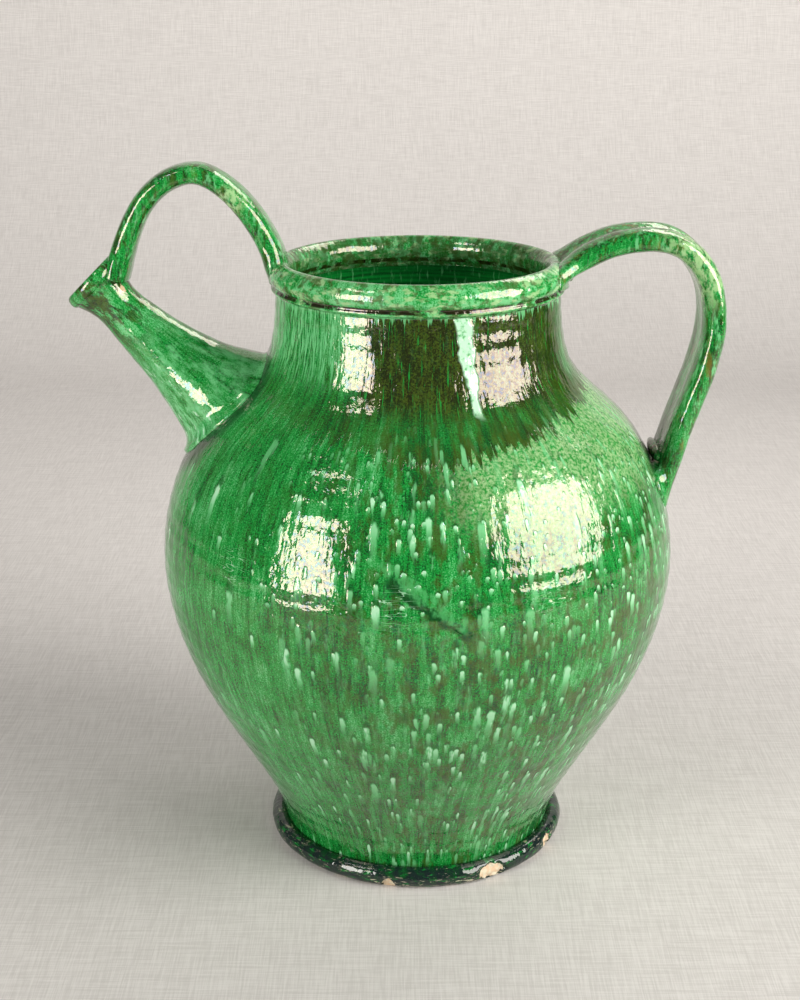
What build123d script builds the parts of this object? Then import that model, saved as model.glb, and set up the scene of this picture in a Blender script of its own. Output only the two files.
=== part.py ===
from build123d import *

import os
from math import cos, hypot, radians, sin

# Glazed earthenware water pitcher with a spout, a bridge handle and a rear strap handle.
#
# The pitcher is built as a potter builds it. A vessel is thrown, with its foot ring and its rolled
# rim. A spout is thrown apart, cut to the shoulder and luted on over a hole. Two pulled straps are
# luted on as handles, and soft clay wads are pressed into their corners.
#
# Frame: the origin is the centre of the foot's resting face, +Z is up, the spout points along -X and
# the rear handle along +X. Everything is in millimetres.

# ---------------------------------------------------------------- driving dimensions
BELLY_R = 140.0  # widest radius of the vessel
BELLY_Z = 171.0  # height of that widest radius
NECK_R = 76.0  # outer radius of the neck where the rim sits on it
RIM_SEAT_Z = 314.0  # height of the joint between the neck and the rim
CREST_R = 73.0  # radius of the rim's crest
CREST_Z = 330.0  # height of the rim's crest
RIM_R = 79.1  # widest radius of the rim
HIGHEST_Z = 400.0  # taller than the whole pitcher

FOOT_R = 84.8  # widest radius of the foot ring
FOOT_REST_R = 81.5  # outer radius of the face that the pitcher stands on
FOOT_INNER_R = 69.5  # inner radius of that face
FOOT_SEAT_R = 76.5  # radius of the crease between the vessel and the foot ring
FOOT_SEAT_Z = 9.5  # height of that crease
FOOT_TOP_Z = 11.0  # height of the foot ring's top
RECESS_Z = 4.0  # depth of the recess under the vessel
FLOOR_TOP_Z = 14.0  # height of the inside of the floor

WALL = 7.0  # wall of the vessel
SPOUT_WALL = 4.0  # wall of the spout

SPOUT_ANGLE = 45.0  # slope of the spout above the horizon
SPOUT_X = -109.6  # a point on the spout's axis, where its root flare starts
SPOUT_Z = 256.8
SPOUT_LIP_S = 84.0  # distance along that axis to the joint between spout and lip
LIP_R = 18.7  # widest radius of the spout's rolled lip
LIP_SEAT_R = 16.8  # outer radius of the joint between spout and lip

REAR_WIDTH = 42.0  # rear handle's strap, across
REAR_THICK = 14.0  # rear handle's strap, over its ridges
REAR_CORNER = 5.5  # rounding of its edges
GROOVE_DEPTH = 2.6  # groove along the outside of the rear handle, between the ridges
GROOVE_R = 13.0  # radius of the groove's bottom
RIDGE_ROUND = 4.0  # rounding of the ridges beside the groove
BRIDGE_WIDTH = 25.0  # bridge handle's strap, across
BRIDGE_THICK = 10.6  # bridge handle's strap, through
BRIDGE_CORNER = 4.6  # rounding of its edges

# Outline of the vessel's outer wall from the foot's crease to the rim, as (radius, height)
OUTER_WALL = [
    (FOOT_SEAT_R, FOOT_SEAT_Z),
    (80.0, 22.0),
    (90.0, 43.0),
    (111.5, 80.0),
    (129.5, 117.0),
    (BELLY_R, BELLY_Z),
    (129.5, 218.0),
    (112.5, 245.0),
    (95.0, 261.0),
    (83.0, 275.0),
    (78.0, 290.0),
    (NECK_R, RIM_SEAT_Z),
]

# Spout, as (distance along its axis, shift off the axis, radius in the upright plane, radius across)
SPOUT_SECTIONS = [
    (-26.0, 7.0, 41.0, 31.0),
    (-11.0, 4.3, 34.3, 28.0),
    (0.0, 2.7, 29.0, 26.0),
    (11.0, 1.0, 24.2, 22.5),
    (24.0, -0.1, 19.9, 19.2),
    (42.0, -1.1, 15.9, 15.9),
    (58.0, -1.5, 13.6, 13.6),
    (71.0, -1.0, 12.7, 12.7),
    (SPOUT_LIP_S, 0.0, LIP_SEAT_R, LIP_SEAT_R),
]

# Centre lines of the two straps, as (x, z); both lie in the plane y = 0
REAR_LINE = [
    (70.0, 321.5),
    (92.7, 335.6),
    (117.5, 341.6),
    (138.0, 337.5),
    (151.0, 323.5),
    (156.6, 299.0),
    (153.5, 276.0),
    (144.8, 249.3),
    (136.0, 220.0),
    (126.0, 190.0),
]
BRIDGE_LINE = [
    (-160.0, 321.0),
    (-152.5, 343.0),
    (-143.8, 359.5),
    (-130.8, 371.2),
    (-115.5, 375.2),
    (-101.9, 369.3),
    (-89.7, 357.7),
    (-80.5, 344.0),
    (-73.5, 326.0),
]

# Soft clay wads in the straps' corners, as (centre, half sizes)
WADS = {
    "rear_rim_wad": ((79.5, 0.0, 319.0), (5.0, 15.0, 5.0)),
    "rear_shoulder_wad": ((128.0, 0.0, 222.5), (7.5, 17.0, 9.0)),
    "bridge_rim_wad": ((-78.0, 0.0, 325.0), (5.0, 13.0, 6.0)),
    "bridge_lip_wad": ((-154.0, 0.0, 321.0), (5.5, 12.0, 5.5)),
}


# ---------------------------------------------------------------- shared geometry
def inset(outline, depth):
    """The points of an outline moved towards the axis by depth, at right angles to the outline."""
    moved = []
    for i, (r, z) in enumerate(outline):
        r0, z0 = outline[max(i - 1, 0)]
        r1, z1 = outline[min(i + 1, len(outline) - 1)]
        length = hypot(r1 - r0, z1 - z0)
        moved.append((r - depth * (z1 - z0) / length, z + depth * (r1 - r0) / length))
    return moved


def turned(*edges):
    """The solid that a closed outline of (radius, height) edges makes about the Z axis."""
    return revolve(Plane.XZ * make_face(Wire(edges)), Axis.Z)


def whole(shape):
    """The largest solid of a cut, without the slivers that the cut may leave."""
    return max(shape.solids(), key=lambda solid: solid.volume)


def spout_plane(distance):
    """The plane across the spout's axis at a distance along it, with its X axis in the XZ plane."""
    along = (-cos(radians(SPOUT_ANGLE)), 0.0, sin(radians(SPOUT_ANGLE)))
    across = (sin(radians(SPOUT_ANGLE)), 0.0, cos(radians(SPOUT_ANGLE)))
    origin = (SPOUT_X + along[0] * distance, 0.0, SPOUT_Z + along[2] * distance)
    return Plane(origin=origin, x_dir=across, z_dir=along)


def spout_flare(wall):
    """The spout as a solid trumpet, thinner by wall all round."""
    rings = []
    for distance, shift, upright, across in SPOUT_SECTIONS:
        rings.append(spout_plane(distance) * Pos(shift, 0) * Ellipse(upright - wall, across - wall))
    return loft(rings)


def strap(line, section):
    """A section swept along a centre line of (x, z) points, with its X axis kept along Y."""
    path = Spline([(x, 0.0, z) for x, z in line])
    start = Plane(origin=path @ 0, x_dir=(0, 1, 0), z_dir=path % 0)
    return sweep(start * section, path=path)


# ---------------------------------------------------------------- thrown vessel
def vessel_outside():
    """The vessel without its inside: everything that the outer wall encloses."""
    wall = Spline(OUTER_WALL)
    return turned(
        wall,
        Line((NECK_R, RIM_SEAT_Z), (0, RIM_SEAT_Z)),
        Line((0, RIM_SEAT_Z), (0, RECESS_Z)),
        Line((0, RECESS_Z), (FOOT_INNER_R, RECESS_Z)),
        Line((FOOT_INNER_R, RECESS_Z), (FOOT_SEAT_R, FOOT_SEAT_Z)),
    )


def vessel_inside():
    """The space inside the vessel, open upwards to the rim's joint."""
    inner = inset(OUTER_WALL, WALL)[1:]
    bottom_r, bottom_z = inner[0]
    corner = (bottom_r - 10.0, FLOOR_TOP_Z)
    top_r = NECK_R - WALL
    inner[-1] = (top_r, RIM_SEAT_Z)
    return turned(
        Line((0, FLOOR_TOP_Z), corner),
        Line(corner, (bottom_r, bottom_z)),
        Spline(inner),
        Line((top_r, RIM_SEAT_Z), (0, RIM_SEAT_Z)),
        Line((0, RIM_SEAT_Z), (0, FLOOR_TOP_Z)),
    )


def make_foot_ring():
    """The turned ring that the pitcher stands on, with a rounded outside."""
    return turned(
        Line((FOOT_INNER_R, 0), (FOOT_REST_R, 0)),
        Spline([(FOOT_REST_R, 0), (FOOT_R, 5.2), (81.0, FOOT_TOP_Z), (FOOT_SEAT_R, FOOT_SEAT_Z)]),
        Line((FOOT_SEAT_R, FOOT_SEAT_Z), (FOOT_INNER_R, RECESS_Z)),
        Line((FOOT_INNER_R, RECESS_Z), (FOOT_INNER_R, 0)),
    )


def make_rim_collar():
    """The rolled rim: a small bead, a groove and a crest that leans in over the mouth."""
    inside_r = NECK_R - WALL
    bead = ThreePointArc((NECK_R, RIM_SEAT_Z), (78.2, 315.8), (77.4, 317.4))
    roll = Spline(
        [
            (77.4, 317.4),
            (RIM_R, 321.6),
            (77.4, 327.2),
            (CREST_R, CREST_Z),
            (68.8, 327.8),
            (66.6, 323.2),
            (inside_r, RIM_SEAT_Z),
        ]
    )
    return turned(Line((inside_r, RIM_SEAT_Z), (NECK_R, RIM_SEAT_Z)), bead, roll)


# ---------------------------------------------------------------- spout
def make_spout_lip():
    """The rolled lip round the spout's mouth, on the spout's axis."""
    joint_bore = LIP_SEAT_R - SPOUT_WALL
    outline = [
        Line((joint_bore, SPOUT_LIP_S), (LIP_SEAT_R, SPOUT_LIP_S)),
        Spline(
            [
                (LIP_SEAT_R, SPOUT_LIP_S),
                (LIP_R, 87.0),
                (17.2, 90.2),
                (15.2, 90.4),
                (joint_bore, SPOUT_LIP_S),
            ]
        ),
    ]
    upright = revolve(Plane.XZ * make_face(Wire(outline)), Axis.Z)
    return spout_plane(0.0).location * upright


# ---------------------------------------------------------------- handles
def rear_section():
    """The rear strap's section: a flat inner face, and a groove between two ridges outside."""
    bar = RectangleRounded(REAR_WIDTH, REAR_THICK, REAR_CORNER)
    section = bar - Pos(0, REAR_THICK / 2 + GROOVE_R - GROOVE_DEPTH) * Circle(GROOVE_R)
    groove_edges = [
        corner for corner in section.vertices() if abs(corner.X) < GROOVE_R and corner.Y > 0
    ]
    return fillet(groove_edges, RIDGE_ROUND)


def bridge_section():
    """The bridge strap's section: a flattened bar with well rounded edges."""
    return RectangleRounded(BRIDGE_WIDTH, BRIDGE_THICK, BRIDGE_CORNER)


def make_wad(name):
    """A wad of clay before it is cut to its neighbours."""
    centre, half_sizes = WADS[name]
    return Pos(*centre) * scale(Sphere(1.0), by=half_sizes)


# ---------------------------------------------------------------- assembly
def build():
    """Every sub-part of the pitcher by its node name, each cut to its neighbours face to face."""
    outside = vessel_outside()
    bore = spout_flare(SPOUT_WALL)
    rim = make_rim_collar()
    lip = make_spout_lip()
    spout = whole(spout_flare(0.0) - bore - outside)

    mouth = Pos(0, 0, RIM_SEAT_Z + HIGHEST_Z / 2) * Cylinder(CREST_R, HIGHEST_Z)
    vessel_and_rim = outside + rim + mouth
    spout_and_lip = spout_flare(SPOUT_WALL / 2) + spout + lip
    rear = whole(strap(REAR_LINE, rear_section()) - vessel_and_rim)
    bridge = whole(strap(BRIDGE_LINE, bridge_section()) - vessel_and_rim - spout_and_lip)
    return {
        "thrown_vessel": whole(outside - vessel_inside() - bore),
        "foot_ring": make_foot_ring(),
        "rim_collar": rim,
        "spout_tube": spout,
        "spout_lip": lip,
        "bridge_handle": bridge,
        "rear_handle": rear,
        "rear_rim_wad": whole(make_wad("rear_rim_wad") - vessel_and_rim - rear),
        "rear_shoulder_wad": whole(make_wad("rear_shoulder_wad") - outside - rear),
        "bridge_rim_wad": whole(make_wad("bridge_rim_wad") - vessel_and_rim - bridge),
        "bridge_lip_wad": whole(make_wad("bridge_lip_wad") - spout_and_lip - bridge),
    }


os.makedirs("parts", exist_ok=True)
for name, shape in build().items():
    export_step(shape, f"parts/{name}.step")
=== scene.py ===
"""The visual model of the green-glazed pitcher: its clay pieces, its glazes and a small studio.

Shapes are worked out in millimetres in the row frame: the vessel's axis is Z, the spout points
along -X and the rear handle along +X. The camera looks along +Y.
"""

from itertools import product
from math import cos, pi, radians, sin

import bmesh
import bpy
import numpy as np
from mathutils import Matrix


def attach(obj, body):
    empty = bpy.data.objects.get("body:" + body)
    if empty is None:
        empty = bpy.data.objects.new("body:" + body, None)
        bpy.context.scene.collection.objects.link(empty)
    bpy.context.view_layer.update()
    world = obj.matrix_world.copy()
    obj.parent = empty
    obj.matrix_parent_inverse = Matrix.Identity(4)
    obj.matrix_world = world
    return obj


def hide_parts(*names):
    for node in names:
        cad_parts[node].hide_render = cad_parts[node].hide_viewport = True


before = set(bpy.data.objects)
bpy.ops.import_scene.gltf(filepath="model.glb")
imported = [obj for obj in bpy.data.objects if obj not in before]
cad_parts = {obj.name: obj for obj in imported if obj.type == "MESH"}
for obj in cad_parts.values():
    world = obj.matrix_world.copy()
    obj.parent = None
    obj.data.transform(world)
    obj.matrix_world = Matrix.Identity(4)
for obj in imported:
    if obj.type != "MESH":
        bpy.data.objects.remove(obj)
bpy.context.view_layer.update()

MM = 0.001
WELD_DISTANCE = 1e-6  # metres

# ---------------------------------------------------------------- dimensions, in millimetres
OUTER_WALL = [
    (76.5, 9.5), (80.0, 22.0), (90.0, 43.0), (111.5, 80.0), (129.5, 117.0), (140.0, 171.0),
    (129.5, 218.0), (112.5, 245.0), (95.0, 261.0), (83.0, 275.0), (78.0, 290.0), (76.0, 314.0),
]
BELLY_RADIUS = 140.0
WALL = 7.0
FLOOR_TOP_Z = 14.0
RECESS_Z = 4.0
RING_PITCH = 9.0  # height between throwing rings
INNER_RING_PITCH = 6.5
FOOT_INNER_R = 69.5
RIM_SEAT_Z = 314.0
RIM_ROLL_CENTRE = (73.0, 322.5)  # (radius, height)
RIM_ROLL_RADIUS = 6.6
RIM_OUTLINE = [
    (75.4, 312.6), (76.0, 314.0), (77.6, 314.7), (78.1, 315.9), (77.3, 317.3), (78.2, 318.9),
    (79.0, 321.6), (78.8, 324.4), (77.2, 327.2), (75.2, 329.2), (73.0, 330.0), (70.6, 329.4),
    (68.6, 327.4), (67.1, 324.6), (66.9, 320.4), (68.4, 315.6), (69.8, 312.8),
]
FOOT_OUTLINE = [
    (69.6, 3.4), (69.6, 1.0), (70.4, 0.0), (80.4, 0.0), (82.6, 1.0), (84.4, 3.4), (84.7, 5.8),
    (83.4, 9.0), (81.2, 10.7), (79.0, 10.9), (77.2, 10.0), (74.0, 8.6),
]

FOOT_CHIPS = [(29.5, 5.5, 5.0), (62.0, 3.0, 5.0), (-11.0, 2.5, 1.5)]  # (degrees from the front, width, z)
CHIP_HALF_HEIGHT = 4.0
CHIP_DEPTH = 1.8

SPOUT_ANGLE = radians(45.0)
SPOUT_BASE = np.array([-109.6, 0.0, 256.8])
SPOUT_ALONG = np.array([-cos(SPOUT_ANGLE), 0.0, sin(SPOUT_ANGLE)])
SPOUT_UP = np.array([sin(SPOUT_ANGLE), 0.0, cos(SPOUT_ANGLE)])
SPOUT_WALL = 4.0
SPOUT_FLARE = 7.0  # how far the root spreads on each side
SPOUT_START = -26.0  # distances along the spout's axis
SPOUT_MOUTH = 84.0
LIP_END = 90.5
SPOUT_SECTIONS = [  # (distance along the axis, shift off it, radius upright, radius across)
    (-26.0, 7.0, 41.0, 31.0), (-11.0, 4.3, 34.3, 28.0), (0.0, 2.7, 29.0, 26.0),
    (11.0, 1.0, 24.2, 22.5), (24.0, -0.1, 19.9, 19.2), (42.0, -1.1, 15.9, 15.9),
    (58.0, -1.5, 13.6, 13.6), (71.0, -1.0, 12.7, 12.7), (84.0, 0.0, 16.8, 16.8),
]
LIP_OUTLINE = [  # (radius, distance along the spout's axis)
    (13.2, 83.0), (16.4, 83.2), (18.0, 84.4), (18.6, 86.6), (18.2, 88.8), (17.0, 90.2),
    (15.6, 90.5), (14.4, 89.2), (13.5, 86.4),
]

REAR_LINE = [
    (70.0, 321.5), (92.7, 335.6), (117.5, 341.6), (138.0, 337.5), (151.0, 323.5),
    (156.6, 299.0), (153.5, 276.0), (144.8, 249.3), (136.0, 220.0), (126.0, 190.0),
]
REAR_HALF_WIDTH = 20.6
REAR_HALF_THICK = 6.7
REAR_GROOVE = 2.9  # depth of the hollow between the strap's two ridges
BRIDGE_LINE = [
    (-160.0, 321.0), (-152.5, 343.0), (-143.8, 359.5), (-130.8, 371.2), (-115.5, 375.2),
    (-101.9, 369.3), (-89.7, 357.7), (-80.5, 344.0), (-74.0, 328.0), (-72.4, 319.0),
]
BRIDGE_HALF_WIDTH = 12.2
BRIDGE_HALF_THICK = 5.9


# ---------------------------------------------------------------- curves and noise
NOISE_CELLS = 256  # the noise repeats after this many cells
NOISE_GAIN = 1.6  # brings the noise to about -1 to 1
FLARE_END = 0.98  # less than 1, so that a flare's edge does not turn vertical


def smooth(points, count):
    """count evenly spaced points on a natural cubic spline through points."""
    points = np.array(points, float)
    knots = np.concatenate([[0.0], np.cumsum(np.linalg.norm(np.diff(points, axis=0), axis=1))])
    gaps = np.diff(knots)
    last = len(points) - 1
    system = np.eye(last + 1)
    pull = np.zeros_like(points)
    for i in range(1, last):
        system[i, i - 1 : i + 2] = gaps[i - 1], 2 * (gaps[i - 1] + gaps[i]), gaps[i]
        before = (points[i] - points[i - 1]) / gaps[i - 1]
        after = (points[i + 1] - points[i]) / gaps[i]
        pull[i] = 6 * (after - before)
    bend = np.linalg.solve(system, pull)
    at = np.linspace(0.0, knots[-1], count)
    i = np.clip(np.searchsorted(knots, at, side="right") - 1, 0, last - 1)
    gap = gaps[i][:, None]
    b = (at - knots[i])[:, None] / gap
    a = 1 - b
    curve = (a**3 - a) * bend[i] + (b**3 - b) * bend[i + 1]
    return a * points[i] + b * points[i + 1] + curve * gap**2 / 6


def noise(points, size, seed):
    """Smooth noise of about -1 to 1 at an array of points, with features about size across."""
    rng = np.random.default_rng(seed)
    table = rng.permutation(NOISE_CELLS)
    slopes = rng.normal(size=(NOISE_CELLS, 3))
    slopes /= np.linalg.norm(slopes, axis=1)[:, None]
    scaled = points / size
    cell = np.floor(scaled).astype(int)
    inside = scaled - cell
    fade = inside**3 * (inside * (inside * 6 - 15) + 10)
    total = np.zeros(points.shape[:-1])
    for corner in product((0, 1), repeat=3):
        corner = np.array(corner)
        x, y, z = np.moveaxis((cell + corner) % NOISE_CELLS, -1, 0)
        key = table[(table[(table[x] + y) % NOISE_CELLS] + z) % NOISE_CELLS]
        weight = np.prod(np.where(corner == 1, fade, 1 - fade), axis=-1)
        total += weight * (slopes[key] * (inside - corner)).sum(-1)
    return total * NOISE_GAIN


def ramp(value, start, end):
    """0 before start and 1 after end, with a smooth step between."""
    t = np.clip((value - start) / (end - start), 0.0, 1.0)
    return t * t * (3 - 2 * t)


WALL_CURVE = smooth(OUTER_WALL, count=400)


def vessel_distance(points):
    """Rough distance of points from the vessel's outer wall, positive outside."""
    height = points[..., 2]
    radius = np.interp(height, WALL_CURVE[:, 1], WALL_CURVE[:, 0])
    slope = np.interp(height, WALL_CURVE[1:, 1], np.diff(WALL_CURVE[:, 0]) / np.diff(WALL_CURVE[:, 1]))
    return (np.hypot(points[..., 0], points[..., 1]) - radius) / np.sqrt(1 + slope**2)


def rim_distance(points):
    """Rough distance of points from the rim's roll, positive outside."""
    radius = np.hypot(points[..., 0], points[..., 1])
    roll_radius, roll_z = RIM_ROLL_CENTRE
    return np.hypot(radius - roll_radius, points[..., 2] - roll_z) - RIM_ROLL_RADIUS


def lip_distance(points):
    """Rough distance of points from the spout's end and its lip, positive outside."""
    out = points - SPOUT_BASE
    along = out @ SPOUT_ALONG
    radius = np.hypot(out @ SPOUT_UP, out[..., 1])
    wall = np.interp(along, [60.0, 71.0, SPOUT_MOUTH, 87.0, LIP_END], [13.0, 12.7, 16.8, 18.7, 17.0])
    return np.maximum(radius - wall, along - LIP_END)


def flare(distance, size):
    """How far a surface spreads where it comes within size of the piece that it joins."""
    t = np.clip(1 - distance / size, 0.0, 1.0)
    return size * (1 - np.sqrt(1 - FLARE_END * t**2))


# ---------------------------------------------------------------- meshes
def piece(name, grid, materials, capped=False, along=False, inner_from=None):
    """A closed mesh from a grid of points in millimetres, whose second index goes round.

    capped closes both ends with a face, and along joins the last row to the first. Faces from row
    inner_from on take the second of the materials.
    """
    rows, cols = grid.shape[:2]
    index = np.arange(rows * cols).reshape(rows, cols)
    index = np.hstack([index, index[:, :1]])
    if along:
        index = np.vstack([index, index[:1]])
    quads = np.stack([index[:-1, :-1], index[:-1, 1:], index[1:, 1:], index[1:, :-1]], axis=-1)
    faces = quads.reshape(-1, 4).tolist()
    if capped:
        faces += [index[0, :-1].tolist(), index[-1, :-1].tolist()]
    mesh = bpy.data.meshes.new(name)
    mesh.from_pydata((grid.reshape(-1, 3) * MM).tolist(), [], faces)
    if inner_from is not None:
        slots = np.zeros(len(mesh.polygons), int)
        slots[inner_from * cols :] = 1
        mesh.polygons.foreach_set("material_index", slots)
    welded = bmesh.new()
    welded.from_mesh(mesh)
    bmesh.ops.remove_doubles(welded, verts=welded.verts, dist=WELD_DISTANCE)
    bmesh.ops.recalc_face_normals(welded, faces=welded.faces)
    welded.to_mesh(mesh)
    welded.free()
    mesh.polygons.foreach_set("use_smooth", [True] * len(mesh.polygons))
    for material in materials:
        mesh.materials.append(material)
    obj = bpy.data.objects.new(name, mesh)
    bpy.context.collection.objects.link(obj)
    return obj


def stands_for(obj, node):
    """Puts a piece in the place of a CAD node."""
    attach(obj, "root")
    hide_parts(node)


def turned(outline, columns):
    """The grid that an outline of (radius, height) makes about the Z axis."""
    angle = np.linspace(0.0, 2 * pi, columns, endpoint=False)
    r, z = np.array(outline).T
    grid = np.empty((len(r), columns, 3))
    grid[..., 0] = r[:, None] * np.cos(angle)
    grid[..., 1] = r[:, None] * np.sin(angle)
    grid[..., 2] = z[:, None]
    return grid


def pushed(grid, amount):
    """The grid with every point moved away from the Z axis by amount."""
    out = grid.copy()
    r = np.maximum(np.hypot(grid[..., 0], grid[..., 1]), 1e-6)
    out[..., 0] += grid[..., 0] / r * amount
    out[..., 1] += grid[..., 1] / r * amount
    return out


def cut(obj, tool):
    """Cuts tool out of obj and deletes tool."""
    modifier = obj.modifiers.new("cut", "BOOLEAN")
    modifier.object = tool
    modifier.operation = "DIFFERENCE"
    modifier.solver = "MANIFOLD"
    modifier.material_mode = "TRANSFER"
    graph = bpy.context.evaluated_depsgraph_get()
    mesh = bpy.data.meshes.new_from_object(obj.evaluated_get(graph))
    obj.modifiers.clear()
    obj.data = mesh
    bpy.data.objects.remove(tool)


# ---------------------------------------------------------------- vessel
def make_vessel(outside_glaze, inside_glaze):
    """The thrown vessel, with throwing rings, a slight wobble and the spout's hole."""
    outer = smooth(OUTER_WALL, count=300)
    normals = np.gradient(outer, axis=0)
    normals /= np.linalg.norm(normals, axis=1)[:, None]
    inner = outer + WALL * np.column_stack([-normals[:, 1], normals[:, 0]])
    above_floor = inner[:, 1] > FLOOR_TOP_Z + 12
    inner = inner[above_floor & (inner[:, 1] < RIM_SEAT_Z)][::-3]
    under = [(0.0, RECESS_Z), (FOOT_INNER_R + 1.0, RECESS_Z)]
    floor = [(66.0, FLOOR_TOP_Z + 3), (58.0, FLOOR_TOP_Z), (0.0, FLOOR_TOP_Z)]
    seat = [(75.9, RIM_SEAT_Z), (69.0, RIM_SEAT_Z)]
    grid = turned(np.vstack([under, outer, seat, inner, floor]), columns=512)
    outside = slice(2, 2 + len(outer))
    inside = slice(outside.stop + 2, None)
    wobble = 0.30 * noise(grid, size=70.0, seed=1) - 0.35
    z = grid[..., 2]
    rings = 0.10 * np.sin(z * 2 * pi / RING_PITCH + 1.5 * noise(grid, size=90.0, seed=2))
    streaks = 0.12 * noise(grid * (1, 1, 0.12), size=5.0, seed=3)
    grid[outside] = pushed(grid, wobble + rings + streaks)[outside]
    deep_rings = 0.45 * np.sin(z * 2 * pi / INNER_RING_PITCH + 2.0 * noise(grid, size=60.0, seed=4))
    grid[inside] = pushed(grid, deep_rings * ramp(z, 24.0, 40.0))[inside]
    vessel = piece("vessel_body", grid, [outside_glaze, inside_glaze], inner_from=outside.stop + 1)
    bore = spout_grid(np.linspace(SPOUT_START, SPOUT_MOUTH, 60), SPOUT_WALL)
    cut(vessel, piece("bore_tool", bore, [inside_glaze], capped=True))
    return vessel


def make_foot(glaze):
    """The foot ring, uneven and chipped."""
    grid = turned(smooth(FOOT_OUTLINE, count=44), columns=600)
    uneven = 0.35 * noise(grid, size=14.0, seed=11) + 0.2 * noise(grid, size=4.0, seed=12)
    chips = np.zeros(grid.shape[:2])
    angle = np.degrees(np.arctan2(grid[..., 0], -grid[..., 1]))
    for turn, width, z in FOOT_CHIPS:
        spread = ((angle - turn) / width) ** 2 + ((grid[..., 2] - z) / CHIP_HALF_HEIGHT) ** 2
        chips -= CHIP_DEPTH * ramp(1.6 - spread + 0.8 * noise(grid, size=3.0, seed=13), 0.3, 1.0)
    low = 1 - 0.9 * ramp(1.0 - grid[..., 2], 0.0, 1.0)
    grid[..., 2] = np.maximum(grid[..., 2], 0.0)
    return piece("foot_roll", pushed(grid, (uneven - 0.5 + chips) * low), [glaze], along=True)


def make_rim(glaze):
    """The rolled rim with its bead."""
    grid = turned(smooth(RIM_OUTLINE, count=56), columns=480)
    uneven = 0.25 * noise(grid, size=25.0, seed=21) + 0.1 * noise(grid, size=6.0, seed=22) - 0.25
    return piece("rim_roll", pushed(grid, uneven), [glaze], along=True)


# ---------------------------------------------------------------- spout
def spout_grid(distances, wall, columns=160):
    """Rings of the spout's surface across its axis, thinner by wall all round."""
    sections = smooth(SPOUT_SECTIONS, count=400)
    shift, upright, across = (np.interp(distances, sections[:, 0], sections[:, k]) for k in (1, 2, 3))
    angle = np.linspace(0.0, 2 * pi, columns, endpoint=False)
    rise = shift[:, None] + (upright[:, None] - wall) * np.cos(angle)
    side = (across[:, None] - wall) * np.sin(angle)
    grid = SPOUT_BASE + distances[:, None, None] * SPOUT_ALONG + rise[..., None] * SPOUT_UP
    grid[..., 1] += side
    return grid


def make_spout(outside_glaze, inside_glaze):
    """The spout, flared and luted on to the shoulder."""
    distances = np.linspace(-14.0, 84.5, 150)
    grid = spout_grid(distances, wall=0.0)
    centre = SPOUT_BASE + distances[:, None, None] * SPOUT_ALONG
    away = grid - centre
    away /= np.linalg.norm(away, axis=-1)[..., None]
    upward = away @ SPOUT_UP
    root = SPOUT_FLARE + np.where(upward > 0, -5.0, 1.0) * upward
    spread = flare(vessel_distance(grid), root)
    lumps = 0.25 * noise(grid, size=18.0, seed=31) + 0.12 * noise(grid, size=5.0, seed=32) - 0.1
    outer = grid + away * (spread + lumps)[..., None]
    bore = spout_grid(distances[::-2], SPOUT_WALL)
    grid = np.concatenate([outer, bore])
    materials = [outside_glaze, inside_glaze]
    return piece("spout_trumpet", grid, materials, along=True, inner_from=len(outer))


def make_lip(glaze):
    """The spout's rolled lip."""
    outline = smooth(LIP_OUTLINE + LIP_OUTLINE[:1], count=40)[:-1]
    ring = turned(outline, columns=120)
    ring = pushed(ring, 0.3 * noise(ring, size=9.0, seed=41) - 0.2)
    grid = SPOUT_BASE + ring[..., 2:] * SPOUT_ALONG + ring[..., :1] * SPOUT_UP
    grid[..., 1] += ring[..., 1]
    return piece("spout_lip_roll", grid, [glaze], along=True)


# ---------------------------------------------------------------- handles
def strap_grid(line, rows, section):
    """Rings along a centre line in the plane y = 0. section(t) gives (across, outward) offsets."""
    path = smooth(line, count=rows)
    heading = np.gradient(path, axis=0)
    heading /= np.linalg.norm(heading, axis=1)[:, None]
    outward = np.column_stack([-heading[:, 1], heading[:, 0]])
    across, out = section(np.linspace(0.0, 1.0, rows)[:, None])
    grid = np.empty(out.shape + (3,))
    grid[..., 0] = path[:, :1] + outward[:, :1] * out
    grid[..., 1] = across
    grid[..., 2] = path[:, 1:] + outward[:, 1:] * out
    return grid, path, outward


def rounded(angle, power):
    """Points of a rounded rectangle of half size 1, by angle; a higher power is squarer."""
    c, s = np.cos(angle), np.sin(angle)
    return np.sign(c) * np.abs(c) ** (2 / power), np.sign(s) * np.abs(s) ** (2 / power)


def widened(grid, distance, amount):
    """Widens a strap sideways by amount where it comes up to another piece."""
    reach = 4 * amount
    out = grid.copy()
    out[..., 1] *= 1 + amount * ramp(reach - distance(grid), 0.0, reach) / np.abs(grid[..., 1]).max()
    return out


def spread_root(grid, path, outward, distance, size):
    """Spreads a strap's sides and inner face where it meets another piece."""
    away = grid.copy()
    away[..., 0] -= path[:, :1]
    away[..., 2] -= path[:, 1:]
    away /= np.linalg.norm(away, axis=-1)[..., None]
    outwardness = away[..., 0] * outward[:, :1] + away[..., 2] * outward[:, 1:]
    spread = flare(distance(grid), size) * ramp(0.6 - outwardness, 0.0, 0.9)
    return grid + away * spread[..., None]


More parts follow.
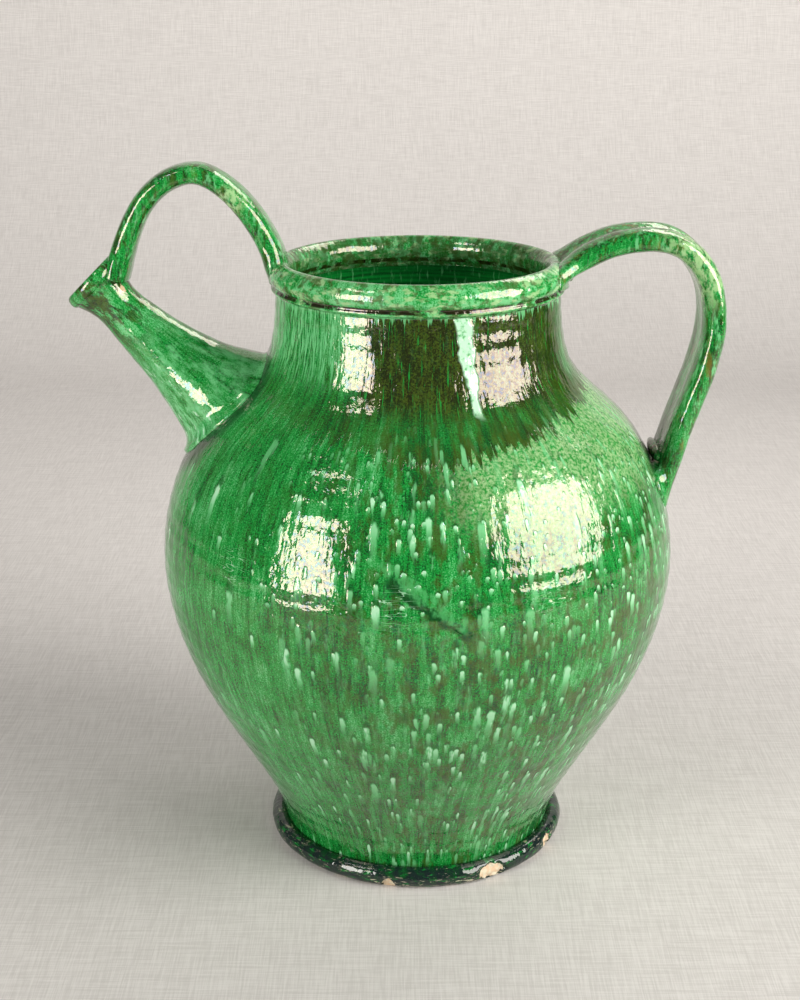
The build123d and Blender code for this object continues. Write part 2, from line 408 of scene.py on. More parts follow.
def make_rear_handle(glaze):
    """The rear strap, with two ridges outside and a hollow between them."""
    angle = np.linspace(0.0, 2 * pi, 96, endpoint=False)
    x, y = rounded(angle, 3.0)

    def section(t):
        half_width = REAR_HALF_WIDTH + 1.0 * ramp(t, 0.75, 1.0) + 2.5 * ramp(0.15 - t, 0.0, 0.15)
        half_thick = REAR_HALF_THICK - 2.2 * ramp(0.1 - t, 0.0, 0.1)
        groove = REAR_GROOVE * np.exp(-((x / 0.30) ** 2)) * (y > 0) * (1 - 0.5 * ramp(t, 0.8, 1.0))
        hollow = 0.8 * np.exp(-((x / 0.5) ** 2)) * (y < 0)
        return half_width * x, half_thick * y - groove + hollow

    grid, path, outward = strap_grid(REAR_LINE, rows=300, section=section)
    grid = spread_root(grid, path, outward, vessel_distance, 9.0)
    grid = widened(grid, rim_distance, 2.5)
    lumps = 0.35 * noise(grid, size=22.0, seed=51) + 0.12 * noise(grid, size=6.0, seed=52)
    grid[..., 1] *= 1 + lumps * 0.012
    grid[..., 0] += outward[:, :1] * (lumps - 0.3)
    grid[..., 2] += outward[:, 1:] * (lumps - 0.3)
    return piece("rear_strap", grid, [glaze], capped=True)


def make_bridge_handle(glaze):
    """The bridge strap, thickest towards the rim."""
    angle = np.linspace(0.0, 2 * pi, 64, endpoint=False)
    x, y = rounded(angle, 2.7)

    def section(t):
        half_width = BRIDGE_HALF_WIDTH + 1.1 * ramp(t, 0.4, 0.9) + 1.6 * ramp(0.22 - t, 0.0, 0.22)
        half_thick = BRIDGE_HALF_THICK - 0.3 * np.exp(-(((t - 0.5) / 0.15) ** 2)) + 0.4 * ramp(t, 0.6, 0.9)
        half_thick = half_thick + 0.8 * ramp(0.20 - t, 0.0, 0.20) - 1.0 * ramp(t, 0.94, 1.0)
        return half_width * x, half_thick * y - 0.6

    grid, path, outward = strap_grid(BRIDGE_LINE, rows=260, section=section)
    grid = widened(grid, rim_distance, 3.0)
    grid = widened(grid, lip_distance, 2.5)
    lumps = 0.25 * noise(grid, size=16.0, seed=61) + 0.1 * noise(grid, size=5.0, seed=62)
    grid[..., 0] += outward[:, :1] * (lumps - 0.2)
    grid[..., 2] += outward[:, 1:] * (lumps - 0.2)
    return piece("bridge_strap", grid, [glaze], capped=True)


def make_wad(name, centre, half_sizes, seed, glaze):
    """A lump of clay pressed into a strap's corner and smoothed over."""
    turn = np.linspace(0.0, pi, 40)
    ball = turned(np.column_stack([np.sin(turn), np.cos(turn)]), columns=64)
    dents = 0.08 * noise(ball, size=0.9, seed=seed) + 0.02 * noise(ball, size=0.4, seed=seed + 1) - 0.05
    return piece(name, ball * (1 + dents[..., None]) * half_sizes + centre, [glaze])


# ---------------------------------------------------------------- material graphs
GLAZE_IOR = 1.56
FILM_IOR = 1.66


class Graph:
    """Builds one material's nodes. Values may be sockets, numbers or tuples."""

    def __init__(self, name):
        self.material = bpy.data.materials.new(name)
        self.material.use_nodes = True
        self.tree = self.material.node_tree
        self.tree.nodes.clear()

    def node(self, kind, inputs, **settings):
        made = self.tree.nodes.new("ShaderNode" + kind)
        for key, value in settings.items():
            setattr(made, key, value)
        for key, value in inputs.items():
            if isinstance(value, bpy.types.NodeSocket):
                self.tree.links.new(value, made.inputs[key])
            else:
                made.inputs[key].default_value = value
        return made

    def math(self, operation, *values):
        return self.node("Math", dict(enumerate(values)), operation=operation).outputs[0]

    def add(self, a, b):
        return self.math("ADD", a, b)

    def times(self, a, b):
        return self.math("MULTIPLY", a, b)

    def vector(self, operation, *values):
        made = self.node("VectorMath", dict(enumerate(values)), operation=operation)
        return made.outputs["Value" if operation in ("DOT_PRODUCT", "LENGTH", "DISTANCE") else "Vector"]

    def parts(self, vector):
        return self.node("SeparateXYZ", {0: vector}).outputs

    def join(self, x, y, z):
        return self.node("CombineXYZ", {0: x, 1: y, 2: z}).outputs[0]

    def step(self, value, start, end, low=0.0, high=1.0):
        """low before start and high after end, with a smooth step between."""
        inputs = {"Value": value, "From Min": start, "From Max": end, "To Min": low, "To Max": high}
        return self.node("MapRange", inputs, interpolation_type="SMOOTHSTEP").outputs[0]

    def band(self, value, low, high, soft):
        """1 between low and high, fading to 0 over soft on each side."""
        rise = self.step(value, low - soft, low)
        fall = self.step(value, high, high + soft, low=1.0, high=0.0)
        return self.times(rise, fall)

    def mix(self, factor, a, b):
        made = self.node("Mix", {0: factor, 6: a, 7: b}, data_type="RGBA")
        return made.outputs[2]

    def noise(self, vector, size, detail=3.0, roughness=0.55, seed=0.0):
        """Noise of 0 to 1 with features of a size, a number or one for each axis."""
        sizes = size if isinstance(size, tuple) else (size,) * 3
        scaled = self.vector("MULTIPLY", vector, tuple(1 / s for s in sizes))
        moved = self.vector("ADD", scaled, (seed * 7.3, seed * 3.1, seed * 5.7))
        inputs = {"Vector": moved, "Scale": 1.0, "Detail": detail, "Roughness": roughness}
        return self.node("TexNoise", inputs).outputs["Fac"]

    def shader(self, colour, height, roughness, ior=GLAZE_IOR, film=0.0):
        """Ends the material with a glossy surface. height is in millimetres, and film is the
        thickness in nanometres of the weathered skin that tints the reflections."""
        bump = self.node("Bump", {"Height": height, "Strength": 1.0, "Distance": MM})
        inputs = {
            "Base Color": colour, "Roughness": roughness, "IOR": ior, "Normal": bump.outputs[0],
            "Thin Film Thickness": film, "Thin Film IOR": FILM_IOR,
        }
        surface = self.node("BsdfPrincipled", inputs)
        self.node("OutputMaterial", {"Surface": surface.outputs[0]})
        return self.material


DEEP = (0.002, 0.050, 0.008, 1.0)
GREEN = (0.004, 0.215, 0.028, 1.0)
MINT = (0.130, 0.460, 0.190, 1.0)
PALE = (0.400, 0.660, 0.460, 1.0)
OLIVE = (0.034, 0.058, 0.005, 1.0)
BROWN = (0.008, 0.009, 0.001, 1.0)
BLACK_GREEN = (0.002, 0.012, 0.006, 1.0)
BLUE_BLACK = (0.005, 0.013, 0.012, 1.0)
AMBER = (0.180, 0.120, 0.018, 1.0)
SAGE = (0.290, 0.470, 0.220, 1.0)
CLAY = (0.600, 0.430, 0.280, 1.0)
CREAM = (0.620, 0.560, 0.420, 1.0)

DARK_EDGE_Z = 231.0  # where the dark glaze would end at the front without its lobes
LOBE_HEIGHT = 17.0
DRIP_TURN = 19.5  # degrees from the front to the drip on the neck
# places on the belly where the highlights fall, where scratches are painted pale as glints
SCRATCH_GLINT_PLACES = [(-12.0, -139.0, 187.0), (-93.0, -102.0, 195.0), (60.0, -124.0, 190.0)]
REAR_ROOT = (134.0, 0.0, 222.0)  # where the rear handle meets the shoulder
FLECK_RISE = 0.25  # how far flecks stand up from the glaze
DRIP_RISE = 0.6
EDGE_RISE = 0.15
CHIP_RELIEF = 0.5
CHIPPED_LIP = (-156.0, -9.0, 315.0)
# where painted highlights lie on the straps' crests
SHEEN_REAR_CREST = (146.0, -14.0, 330.0)
SHEEN_BRIDGE_CREST = (-97.0, -12.0, 362.0)
LINEN_DARK = (0.595, 0.570, 0.560, 1.0)
LINEN_LIGHT = (0.735, 0.710, 0.700, 1.0)
LINEN_IOR = 1.3


class Glaze(Graph):
    """A runny copper glaze. Its coordinates are in millimetres: solid is the place in the row frame,
    flow follows the way that the glaze ran, and turn is the angle from the front, in degrees."""

    def __init__(self, name, radius=120.0):
        super().__init__(name)
        place = self.node("TexCoord", {}).outputs["Object"]
        self.solid = self.vector("MULTIPLY", place, (1 / MM,) * 3)
        x, y, self.z = self.parts(self.solid)
        self.set_flow(x, y, self.z, radius=radius)
        self.turn = self.math("DEGREES", self.math("ARCTAN2", x, self.times(y, -1.0)))

    def set_flow(self, x, y, along, radius):
        """Measures the glaze's coordinates round and along the axis of a turned form."""
        sideways = self.vector("NORMALIZE", self.join(x, y, 0.0))
        round_about = self.vector("MULTIPLY", sideways, (radius, radius, 0.0))
        self.flow = self.vector("ADD", round_about, self.join(0.0, 0.0, along))

    def follow_spout(self):
        """Lays the flow along the spout, and returns (distance along it, rise above its axis)."""
        offset = self.vector("SUBTRACT", self.solid, tuple(SPOUT_BASE))
        along = self.vector("DOT_PRODUCT", offset, tuple(SPOUT_ALONG))
        rise = self.vector("DOT_PRODUCT", offset, tuple(SPOUT_UP))
        self.set_flow(rise, self.parts(offset)[1], along, radius=20.0)
        return along, rise

    def patches(self, size, low, high, seed, solid=False):
        """Ragged patches of 1 where noise is above high, on the flow or on the solid."""
        where = self.solid if solid else self.flow
        return self.step(self.noise(where, size, 4.0, 0.65, seed=seed), low, high)

    def flecks(self, across, along, chosen, seed):
        """Drips as (light, painted shade): a bright round head, a tail that fades downwards, and a
        painted shadow as a dark cap over the head. chosen is the share of cells that have one."""
        scaled = self.vector("MULTIPLY", self.flow, (1 / across, 1 / across, 1 / along))
        scaled = self.vector("ADD", scaled, (seed * 2.3, seed * 1.7, seed * 3.9))
        cells = self.node("TexVoronoi", {"Vector": scaled, "Scale": 1.0, "Randomness": 1.0})
        x, y, z = self.parts(self.vector("SUBTRACT", scaled, cells.outputs["Position"]))
        ragged = self.add(self.noise(self.flow, (1.5, 1.5, 5.0), 1.0, seed=seed), -0.5)
        aside = self.add(self.vector("LENGTH", self.join(x, y, 0.0)), self.times(ragged, 0.4))
        lot, strength, _ = self.parts(cells.outputs["Color"])
        brightness = self.add(0.35, strength)
        picked = self.step(self.math("SUBTRACT", chosen, lot), 0.0, 0.10, low=0.0, high=brightness)
        tail = self.step(z, -0.85, 0.10)
        dome = self.add(z, self.times(self.times(aside, aside), 3.2 * across / along))
        head = self.step(dome, 0.05, 0.13, low=1.0, high=0.0)
        core = self.step(aside, 0.14, 0.36, low=1.0, high=0.0)
        light = self.times(self.times(core, picked), self.times(self.times(tail, tail), head))
        # the cap over the head is painted shadow
        over_head = self.step(aside, 0.25, 0.42, low=1.0, high=0.0)
        cap_shadow = self.times(self.band(dome, 0.10, 0.20, soft=0.08), over_head)
        return light, self.times(cap_shadow, picked)

    def run_of_glaze(self, start, end, half_width):
        """A soft-edged run between two places on the belly, in millimetres round it and up it."""
        length = np.hypot(end[0] - start[0], end[1] - start[1])
        along = (end[0] - start[0]) / length, (end[1] - start[1]) / length
        x = self.add(self.times(self.turn, radians(BELLY_RADIUS)), -start[0])
        z = self.add(self.z, -start[1])
        u = self.add(self.times(x, along[0]), self.times(z, along[1]))
        v = self.add(self.times(x, -along[1]), self.times(z, along[0]))
        v = self.add(v, self.times(self.add(self.noise(self.solid, 7.0, 3.0, 0.6, seed=34), -0.5), 9.0))
        inside = self.step(self.math("ABSOLUTE", v), half_width, half_width * 0.5)
        return self.times(inside, self.band(u, 0.0, float(length), soft=5.0))

    def ground(self, lightness=0.5):
        """The streaked and speckled green under the marks."""
        tone = lightness
        for where, size, weight, seed in [
            (self.flow, (1.2, 1.2, 13.0), 0.80, 1),
            (self.flow, (5.0, 5.0, 36.0), 0.80, 2),
            (self.solid, 26.0, 0.80, 3),
            (self.solid, 0.7, 1.50, 4),
        ]:
            layer = self.noise(where, size, 3.0, 0.6, seed=seed)
            tone = self.add(tone, self.times(self.add(layer, -0.5), weight))
        colour = self.mix(self.step(tone, 0.22, 0.58), DEEP, GREEN)
        colour = self.mix(self.step(tone, 0.56, 1.05, low=0.0, high=0.9), colour, MINT)
        speck = self.step(self.noise(self.solid, 1.1, 1.0, 0.5, seed=5), 0.66, 0.76)
        return self.mix(self.times(speck, 0.75), colour, BLACK_GREEN)

    def relief(self, depth=1.0):
        """The glaze's own relief in millimetres: an uneven skin with long soft runs."""
        height = self.times(self.noise(self.solid, 1.3, 1.0, 0.5, seed=6), 0.020 * depth)
        for where, size, weight, seed in [
            (self.solid, 3.4, 0.25, 7),
            (self.flow, (4.5, 4.5, 30.0), 0.26, 8),
            (self.flow, (13.0, 13.0, 17.0), 0.55, 9),
        ]:
            layer = self.noise(where, size, 2.0, 0.5, seed=seed)
            height = self.add(height, self.times(layer, weight * depth))
        return height

    def film(self):
        """The thickness of the weathered skin, in nanometres, in small uneven spots."""
        return self.step(self.noise(self.solid, 2.2, 3.0, 0.6, seed=13), 0.35, 0.68, low=100.0, high=185.0)

    def polish(self):
        """The gloss, a little uneven."""
        return self.step(self.noise(self.solid, 5.0, 5.0, 0.7, seed=10), 0.35, 0.75, low=0.04, high=0.15)


def cloudy(g, colour):
    """Lays olive clouds over the colour, densest from the front to the right."""
    strength = g.step(g.turn, -40.0, 10.0, low=0.15, high=0.7)
    return g.mix(g.times(g.patches((7.0, 7.0, 13.0), 0.47, 0.60, seed=11), strength), colour, OLIVE)


def dark_shoulder(g, colour, scumble):
    """Adds the dark glaze that ends in lobes on the shoulder, and a painted sheen, pale and speckled,
    under it on the right.

    Returns the colour, and 1 where the dark glaze lies over the green.
    """
    lobes = g.add(
        g.noise(g.flow, (7.0, 7.0, 20.0), 4.0, 0.7, seed=21),
        g.noise(g.flow, (2.5, 2.5, 30.0), seed=28),
    )
    from_front = g.math("ABSOLUTE", g.add(g.turn, -5.0))
    edge = g.add(g.times(from_front, 0.25), g.times(lobes, LOBE_HEIGHT))
    over_edge = g.add(g.math("SUBTRACT", g.z, edge), -DARK_EDGE_Z)
    above = g.step(over_edge, -0.6, 0.6)
    # painted sheen: a pale speckled patch on the right shoulder under the dark edge, standing in for a
    # reflection of the lamps
    painted_sheen = g.times(g.band(g.turn, 18.0, 88.0, soft=18.0), g.band(g.z, 234.0, 275.0, soft=22.0))
    speckled_sheen = g.mix(g.patches(1.6, 0.35, 0.65, seed=22, solid=True), GREEN, SAGE)
    colour = g.mix(g.times(painted_sheen, g.step(over_edge, 0.0, -1.0, low=0.0, high=0.8)), colour, speckled_sheen)
    deepest = g.mix(g.step(over_edge, 5.0, 1.0), DEEP, BROWN)
    deep = g.mix(g.step(scumble, 0.42, 0.62), OLIVE, deepest)
    shoulder = g.times(above, g.band(g.turn, -60.0, 85.0, soft=25.0))
    near_edge = g.step(over_edge, 13.0, 3.5, low=0.42, high=0.95)
    strength = g.times(g.times(shoulder, near_edge), g.step(g.turn, -30.0, 12.0, low=0.30, high=0.78))
    return g.mix(strength, colour, deep), above


def neck_colours(g, colour, scumble):
    """Adds the neck's scorched right side, its mint left side and a fringe under the rim."""
    stipple = g.noise(g.solid, 1.0, 3.0, 0.7, seed=29)
    scorched = g.mix(g.step(g.add(scumble, g.times(stipple, 1.2)), 0.92, 1.22), OLIVE, BROWN)
    scorched = g.mix(g.patches((1.5, 1.5, 14.0), 0.57, 0.68, seed=30), scorched, GREEN)
    rough_turn = g.add(g.turn, g.times(scumble, 24.0))
    dark_side = g.times(g.step(g.z, 258.0, 276.0), g.band(rough_turn, -5.0, 76.0, soft=8.0))
    colour = g.mix(g.times(dark_side, g.step(scumble, 0.30, 0.40, low=0.45, high=0.95)), colour, scorched)
    mint_side = g.times(g.step(g.z, 270.0, 292.0), g.band(g.turn, -120.0, -28.0, soft=12.0))
    mint_side = g.times(mint_side, g.patches((1.6, 1.6, 12.0), 0.44, 0.62, seed=24))
    colour = g.mix(mint_side, colour, MINT)
    fringe = g.math("SUBTRACT", g.z, g.times(g.noise(g.flow, (3.0, 3.0, 90.0), 3.0, 0.6, seed=25), -26.0))
    return g.mix(g.step(fringe, 325.5, 327.5, low=0.0, high=0.7), colour, MINT)


def flecked(g, colour):
    """Adds milky streaks, and flecks in four sizes with painted shadow over their heads and pale heads
    that are partly painted highlight. Returns the colour and the flecks' strength.
    """
    milky = g.times(g.step(g.turn, -48.0, 0.0, low=0.10, high=0.35), g.step(g.z, 215.0, 165.0))
    colour = g.mix(g.times(milky, g.patches((3.2, 3.2, 15.0), 0.50, 0.74, seed=36)), colour, MINT)

    busy = g.step(g.turn, -48.0, 0.0, low=0.20, high=0.78)
    beads = g.times(g.band(g.turn, -25.0, 70.0, soft=20.0), g.step(g.z, 165.0, 195.0, low=0.0, high=0.8))
    marks, painted_shade = g.flecks(across=4.0, along=6.5, chosen=beads, seed=4)
    for across, along, share, seed in [(4.4, 14.0, 1.0, 1), (5.5, 24.0, 0.85, 2), (7.5, 36.0, 0.85, 3)]:
        light, cap_shadow = g.flecks(across, along, g.times(busy, share), seed)
        marks = g.math("MAXIMUM", marks, light)
        painted_shade = g.math("MAXIMUM", painted_shade, cap_shadow)
    below_neck = g.step(g.z, 268.0, 240.0, low=0.1, high=1.0)
    marks = g.times(marks, below_neck)
    # painted shadow: a dark cap over each fleck's head, as if the raised head cast shade
    colour = g.mix(g.times(g.times(painted_shade, below_neck), 0.5), colour, DEEP)
    colour = g.mix(g.times(g.step(marks, 0.0, 0.85), 0.9), colour, MINT)
    # the pale heads are partly the flecks' own pale glaze and partly a painted highlight on their raised
    # tops
    return g.mix(g.times(g.step(marks, 0.55, 1.15), 0.75), colour, PALE), marks


def scarred(g, colour):
    """Adds the slanting run on the belly, with a painted shadow beside it as a dark line, and three
    scratched places painted pale as glints where the highlights fall.
    """
    run = g.run_of_glaze((-18.0, 207.0), (22.0, 178.0), half_width=4.5)
    run = g.times(run, g.patches((3.0, 3.0, 7.0), 0.36, 0.60, seed=35))
    # painted shadow: a dark line beside the run, as if the run stood up and cast shade
    colour = g.mix(g.run_of_glaze((-14.0, 199.0), (24.0, 173.0), half_width=3.5), colour, DEEP)
    colour = g.mix(g.times(run, 0.75), colour, g.mix(0.4, GREEN, MINT))
    waves = g.noise(g.solid, (15.0, 15.0, 2.2), 1.0, 0.5, seed=33)
    scratch_glint = g.step(g.math("ABSOLUTE", g.add(waves, -0.5)), 0.012, 0.004, low=0.0, high=0.6)
    # partly real scratches and partly a painted glint: they are painted pale only where the highlights
    # fall
    for place in SCRATCH_GLINT_PLACES:
        near = g.step(g.vector("DISTANCE", g.solid, place), 13.0, 7.0)
        colour = g.mix(g.times(near, scratch_glint), colour, PALE)
    return colour


def with_neck_drip(g, colour):
    """Adds the pale drip from the rim down the neck. Returns the colour and the drip's place."""
    sway = g.times(g.noise(g.solid, 9.0, 2.0, 0.5, seed=26), 6.0)
    middle = g.add(g.times(g.add(g.z, -RIM_SEAT_Z), 0.08), g.add(g.add(g.turn, sway), -DRIP_TURN))
    half_width = g.step(g.z, 268.0, RIM_SEAT_Z, low=1.0, high=3.2)
    beyond = g.math("SUBTRACT", g.math("ABSOLUTE", middle), half_width)
    drip = g.times(g.step(beyond, 0.8, -0.3), g.step(g.z, 264.0, 270.0))
    pale = g.mix(g.patches(3.0, 0.28, 0.52, seed=27, solid=True), GREEN, PALE)
    return g.mix(drip, colour, pale), drip


def painted_joint_shade(g, colour):
    """Paints shade into the creases round the rear handle's root and the spout's root."""
    reach = g.vector("DISTANCE", g.solid, REAR_ROOT)
    root_shade = g.step(reach, 34.0, 20.0)
    along, rise = g.follow_spout()
    from_axis = g.vector("LENGTH", g.join(rise, g.parts(g.solid)[1], 0.0))
    crease_shade = g.times(g.step(from_axis, 50.0, 38.0), g.step(along, -40.0, -30.0))
    # painted shade: the glaze is darkened in these creases as if shade fell there
    return g.mix(g.times(g.math("MAXIMUM", root_shade, crease_shade), 0.85), colour, BLACK_GREEN)


def vessel_glaze():
    """The glaze outside the vessel, with its drips, its dark neck and its flecks."""
    g = Glaze("vessel_glaze")
    colour = g.ground(g.step(g.turn, -20.0, -45.0, low=0.49, high=0.56))
    colour = cloudy(g, colour)
    scumble = g.noise(g.flow, (7.0, 7.0, 15.0), 5.0, 0.75, seed=23)
    colour, above_edge = dark_shoulder(g, colour, scumble)
    colour = neck_colours(g, colour, scumble)
    colour, marks = flecked(g, colour)
    colour = scarred(g, colour)
    colour, drip = with_neck_drip(g, colour)
    raised = g.add(g.times(marks, FLECK_RISE), g.times(drip, DRIP_RISE))
    height = g.add(g.add(g.relief(), raised), g.times(above_edge, EDGE_RISE))
    # painted shade in the creases where the handle and the spout join the body
    colour = painted_joint_shade(g, colour)
    return g.shader(colour, height, g.polish(), film=g.film())


def inside_glaze():
    """The dark glaze inside the vessel, the spout and the lip."""
    g = Glaze("inside_glaze")
    rings = g.noise(g.solid, (60.0, 60.0, 2.2), 3.0, 0.6, seed=31)
    colour = g.mix(g.step(rings, 0.28, 0.85), DEEP, GREEN)
    streak = g.times(g.patches((3.0, 3.0, 9.0), 0.54, 0.68, seed=32), g.step(g.z, 262.0, 312.0))
    colour = g.mix(g.times(streak, 0.35), colour, MINT)
    return g.shader(colour, g.relief(), g.polish(), film=g.film())


def rim_glaze():
    """The rim's lighter glaze, with a groove darkened in brown patches and a dark inner side."""
    g = Glaze("rim_glaze", radius=75.0)
    colour = g.ground(0.66)
    colour = g.mix(g.times(g.patches((6.0, 6.0, 5.0), 0.50, 0.60, seed=41), 0.8), colour, MINT)
    colour = g.mix(g.times(g.patches((7.0, 7.0, 3.0), 0.50, 0.62, seed=45), 0.75), colour, SAGE)
    colour = g.mix(g.times(g.patches((8.0, 8.0, 6.0), 0.50, 0.60, seed=42), 0.70), colour, OLIVE)
    groove = g.band(g.z, 316.4, 318.0, soft=0.8)
    colour = g.mix(g.times(groove, g.patches(9.0, 0.38, 0.52, seed=43)), colour, BROWN)
    from_axis = g.vector("LENGTH", g.vector("MULTIPLY", g.solid, (1.0, 1.0, 0.0)))
    inner = g.step(from_axis, 72.0, 69.5)
    stained = g.times(inner, g.patches((5.0, 5.0, 6.0), 0.66, 0.44, seed=44))
    colour = g.mix(g.times(stained, 0.7), colour, g.mix(0.5, OLIVE, DEEP))
    return g.shader(colour, g.relief(), g.polish(), film=g.film())


def spout_glaze():
    """The spout's glaze, brown near the lip and streaked with mint underneath, the mint and pale there
    being partly a painted highlight.
    """
    g = Glaze("spout_glaze")
    along, rise = g.follow_spout()
    colour = g.ground(0.64)
    near_lip = g.step(along, 35.0, 72.0, low=0.12, high=0.9)
    stained = g.times(g.patches((8.0, 8.0, 13.0), 0.46, 0.56, seed=51), near_lip)
    colour = g.mix(stained, colour, g.mix(g.patches(5.0, 0.4, 0.6, seed=52), OLIVE, BROWN))
    # partly painted highlight: the mint blotches near the root and the mint and pale streaks on the low
    # side also stand in for the lamps' highlight
    low_side = g.times(g.step(rise, 4.0, -12.0), g.step(along, 62.0, 15.0))
    near_root = g.step(along, 60.0, 30.0, low=0.0, high=0.8)
    blotches_and_sheen = g.times(g.patches((5.0, 5.0, 10.0), 0.44, 0.68, seed=56), near_root)
    streaks = g.times(low_side, g.patches((2.4, 2.4, 9.0), 0.46, 0.60, seed=53))
    colour = g.mix(g.math("MAXIMUM", blotches_and_sheen, streaks), colour, MINT)
    colour = g.mix(g.times(low_side, g.patches((2.0, 2.0, 7.0), 0.58, 0.68, seed=54)), colour, PALE)
    reach = g.vector("DISTANCE", g.solid, CHIPPED_LIP)
    chipped = g.step(g.add(reach, g.times(g.noise(g.solid, 3.0, 3.0, 0.6, seed=55), 6.0)), 5.3, 4.9)
    colour = g.mix(chipped, colour, CLAY)
    return g.shader(colour, g.relief(0.5), g.polish(), film=g.film())


def strap_glaze(name, lightness, amber, sheen_at, sheen_size):
    """The straps' glaze: green that ran downwards, with stained, pale and amber places, and a painted
    highlight on the crest.
    """
    g = Glaze(name)
    g.flow = g.solid
    colour = g.ground(lightness)
    stain = g.mix(g.patches((3.0, 3.0, 9.0), 0.42, 0.58, seed=61), OLIVE, BROWN)
    colour = g.mix(g.times(g.patches((6.0, 6.0, 20.0), 0.50, 0.60, seed=62), 0.75), colour, stain)
    colour = g.mix(g.times(g.patches((6.0, 6.0, 18.0), 0.55, 0.68, seed=63), amber), colour, AMBER)
    colour = g.mix(g.times(g.patches((3.5, 3.5, 11.0), 0.53, 0.68, seed=64), 0.75), colour, MINT)
    # painted highlight: a pale sage patch on the strap's crest, where the lamps would catch it
    reach = g.vector("DISTANCE", g.solid, sheen_at)
    wear_and_sheen = g.step(reach, sheen_size, sheen_size * 0.4)
    wear_and_sheen = g.times(wear_and_sheen, g.patches((3.0, 3.0, 5.0), 0.40, 0.58, seed=65))
    colour = g.mix(g.times(wear_and_sheen, 0.85), colour, SAGE)
    return g.shader(colour, g.relief(0.8), g.polish(), film=g.film())


def foot_glaze():
    """The foot's nearly black glaze, scuffed and chipped through to the clay."""
    g = Glaze("foot_glaze", radius=80.0)
    colour = g.mix(g.patches((4.0, 4.0, 3.0), 0.45, 0.75, seed=71), BLUE_BLACK, DEEP)
    colour = g.mix(g.times(g.patches((6.0, 6.0, 1.6), 0.56, 0.66, seed=72), 0.6), colour, GREEN)
    near_floor = g.step(g.z, 8.5, 2.0, low=0.35, high=1.0)
    clumps = g.times(g.patches((20.0, 20.0, 9.0), 0.50, 0.58, seed=77), near_floor)
    colour = g.mix(g.times(clumps, g.patches((4.0, 4.0, 0.7), 0.56, 0.64, seed=75)), colour, CREAM)
    wear_and_sheen = g.times(g.step(g.z, 2.6, 0.6), g.patches((7.0, 7.0, 2.0), 0.48, 0.56, seed=73))
    colour = g.mix(g.times(wear_and_sheen, 0.8), colour, CREAM)
    chip = 0.0
    ragged = g.times(g.noise(g.solid, 3.0, 3.0, 0.6, seed=74), 1.2)
    for turn, width, z in FOOT_CHIPS:
        across = g.math("DIVIDE", g.add(g.turn, -turn), width)
        down = g.math("DIVIDE", g.add(g.z, -z), CHIP_HALF_HEIGHT)
        spread = g.vector("LENGTH", g.join(across, down, ragged))
        chip = g.math("MAXIMUM", chip, g.step(spread, 1.2, 1.1))
    colour = g.mix(chip, colour, g.mix(g.patches(3.0, 0.4, 0.6, seed=76), CLAY, CREAM))
    roughness = g.math("MAXIMUM", g.polish(), g.times(chip, 0.8))
    return g.shader(colour, g.add(g.relief(), g.times(chip, -CHIP_RELIEF)), roughness)


def linen():
    """A pale woven cloth for the sweep that the pitcher stands on, with painted shade darkening it towards
    the front.
    """
    g = Glaze("linen")
    warp = g.noise(g.solid, (0.7, 22.0, 22.0), 2.0, 0.6, seed=81)
    weft = g.noise(g.solid, (22.0, 0.7, 0.7), 2.0, 0.6, seed=82)
    thread = g.add(g.times(warp, 0.5), g.times(weft, 0.5))
    colour = g.mix(g.step(thread, 0.35, 0.65), LINEN_DARK, LINEN_LIGHT)
    # painted shade: the cloth is darkened towards the front to stand in for the light falling off there
    painted_shade = g.step(g.parts(g.solid)[1], -200.0, 600.0, low=0.75, high=1.0)
    colour = g.vector("MULTIPLY", colour, g.join(painted_shade, painted_shade, painted_shade))
    return g.shader(colour, g.times(thread, 0.12), roughness=0.9, ior=LINEN_IOR)


# ---------------------------------------------------------------- pitcher
green = vessel_glaze()
dark = inside_glaze()
spout_green = spout_glaze()
rear_green = strap_glaze(
    "rear_glaze", lightness=0.55, amber=0.5, sheen_at=SHEEN_REAR_CREST, sheen_size=32.0
)
bridge_green = strap_glaze(
    "bridge_glaze", lightness=0.48, amber=0.2, sheen_at=SHEEN_BRIDGE_CREST, sheen_size=10.0
)

stands_for(make_vessel(green, dark), "thrown_vessel")
stands_for(make_foot(foot_glaze()), "foot_ring")
stands_for(make_rim(rim_glaze()), "rim_collar")
stands_for(make_spout(spout_green, dark), "spout_tube")
stands_for(make_lip(spout_green), "spout_lip")
stands_for(make_rear_handle(rear_green), "rear_handle")
stands_for(make_bridge_handle(bridge_green), "bridge_handle")
for wad, centre, half_sizes, seed, material in [
    ("rear_rim_wad", (79.5, 0.0, 321.5), (3.4, 13.0, 3.4), 71, rear_green),
    ("rear_shoulder_wad", (129.5, 0.0, 225.0), (3.4, 17.0, 4.4), 73, rear_green),
    ("bridge_rim_wad", (-78.0, 0.0, 327.5), (3.0, 10.0, 3.4), 75, bridge_green),
    ("bridge_lip_wad", (-156.0, 0.0, 322.0), (3.0, 8.5, 3.0), 77, bridge_green),
]:
    stands_for(make_wad(wad + "_clay", centre, half_sizes, seed, material), wad)


# ---------------------------------------------------------------- studio
def make_sweep():
    """The floor and the backdrop, one sheet that curves up behind."""
    front = -1000.0
    bend = 1000.0
    radius = 500.0
    top = 2300.0
    half_width = 1700.0
    turn = np.linspace(0.0, pi / 2, 24)
    arc = np.column_stack([bend + radius * np.sin(turn), radius * (1 - np.cos(turn))])
    side = np.vstack([[(front, 0.0)], arc, [(bend + radius, top)]])
    corners = [(x, y, z) for y, z in side * MM for x in (-half_width * MM, half_width * MM)]
    faces = [(i, i + 1, i + 3, i + 2) for i in range(0, len(corners) - 2, 2)]
    mesh = bpy.data.meshes.new("sweep")
    mesh.from_pydata(corners, [], faces)
    mesh.polygons.foreach_set("use_smooth", [True] * len(faces))
    obj = bpy.data.objects.new("sweep", mesh)
    obj.data.materials.append(linen())
    bpy.context.collection.objects.link(obj)


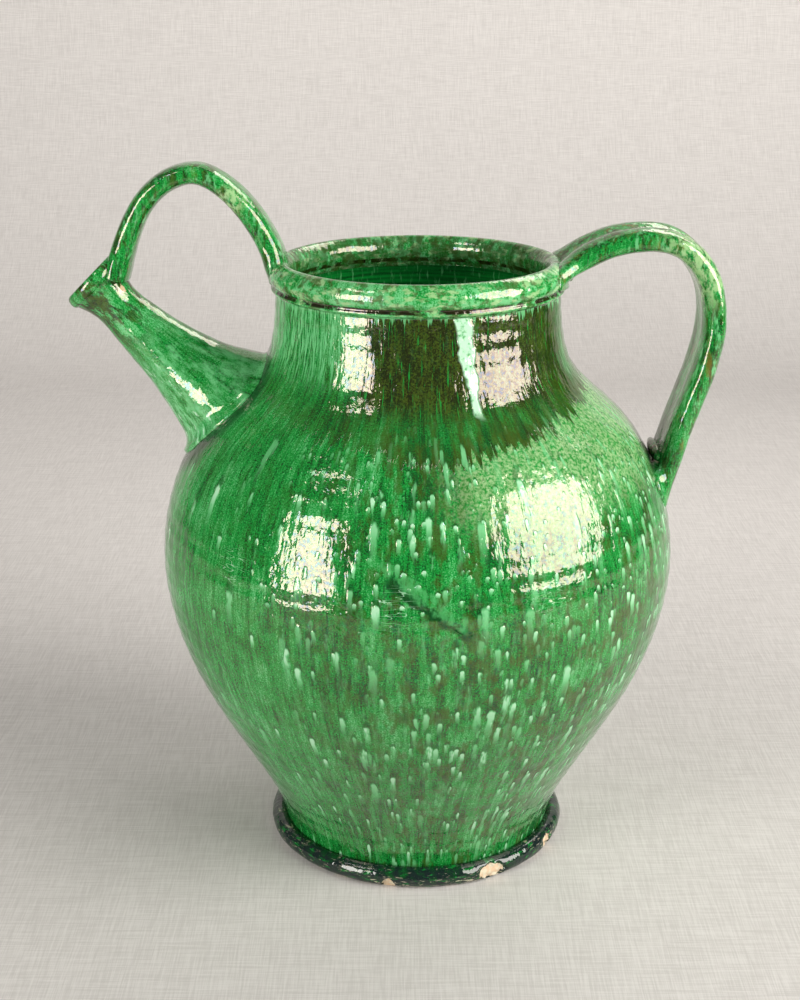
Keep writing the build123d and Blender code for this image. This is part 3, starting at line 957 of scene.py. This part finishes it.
PANELS = [  # (name, degrees from the front, distance, bottom, top, width, radiance, shape), in metres
    ("left_panel", -47.5, 1.35, 0.08, 1.00, 0.53, 13.0, "RECTANGLE"),
    ("high_panel", -58.0, 1.35, 1.75, 2.15, 0.60, 11.0, "RECTANGLE"),
    ("right_panel", 64.0, 1.50, 0.15, 1.85, 1.50, 10.3, "ELLIPSE"),
    ("rear_panel", 145.0, 1.50, 1.20, 2.30, 1.50, 5.0, "RECTANGLE"),
]
PANEL_TILT = 12.0  # degrees that the panels lean back
PANEL_COLOUR = (1.0, 0.970, 0.910)
ROOM_COLOUR = (0.12, 0.12, 0.12, 1.0)
CAMERA_PLACE = (-0.0095, -0.8654, 0.48675)
CAMERA_TILT = 18.61  # degrees below the horizon
CAMERA_LENS = 59.4
CAMERA_SENSOR = 36.0


def softbox(name, turn, distance, low, high, width, radiance, shape):
    """An upright lit panel that faces the pitcher, turn degrees from the front towards +X."""
    light = bpy.data.lights.new(name, "AREA")
    light.shape = shape
    light.size, light.size_y = width, high - low
    area = width * (high - low) * (pi / 4 if shape == "ELLIPSE" else 1.0)
    light.energy = radiance * pi * area
    light.color = PANEL_COLOUR
    obj = bpy.data.objects.new(name, light)
    obj.location = distance * sin(radians(turn)), -distance * cos(radians(turn)), (low + high) / 2
    obj.rotation_euler = radians(90 + PANEL_TILT), 0.0, radians(turn)
    bpy.context.collection.objects.link(obj)


def make_studio():
    """The soft panels, dim surroundings and the camera."""
    for panel in PANELS:
        softbox(*panel)
    world = bpy.data.worlds.new("room")
    world.use_nodes = True
    world.node_tree.nodes["Background"].inputs["Color"].default_value = ROOM_COLOUR
    bpy.context.scene.world = world
    lens = bpy.data.cameras.new("camera")
    lens.sensor_width = CAMERA_SENSOR
    lens.lens = CAMERA_LENS
    camera = bpy.data.objects.new("camera", lens)
    camera.location = CAMERA_PLACE
    camera.rotation_euler = radians(90 - CAMERA_TILT), 0.0, 0.0
    bpy.context.collection.objects.link(camera)
    bpy.context.scene.camera = camera
    bpy.context.scene.view_settings.view_transform = "Standard"


make_sweep()
make_studio()
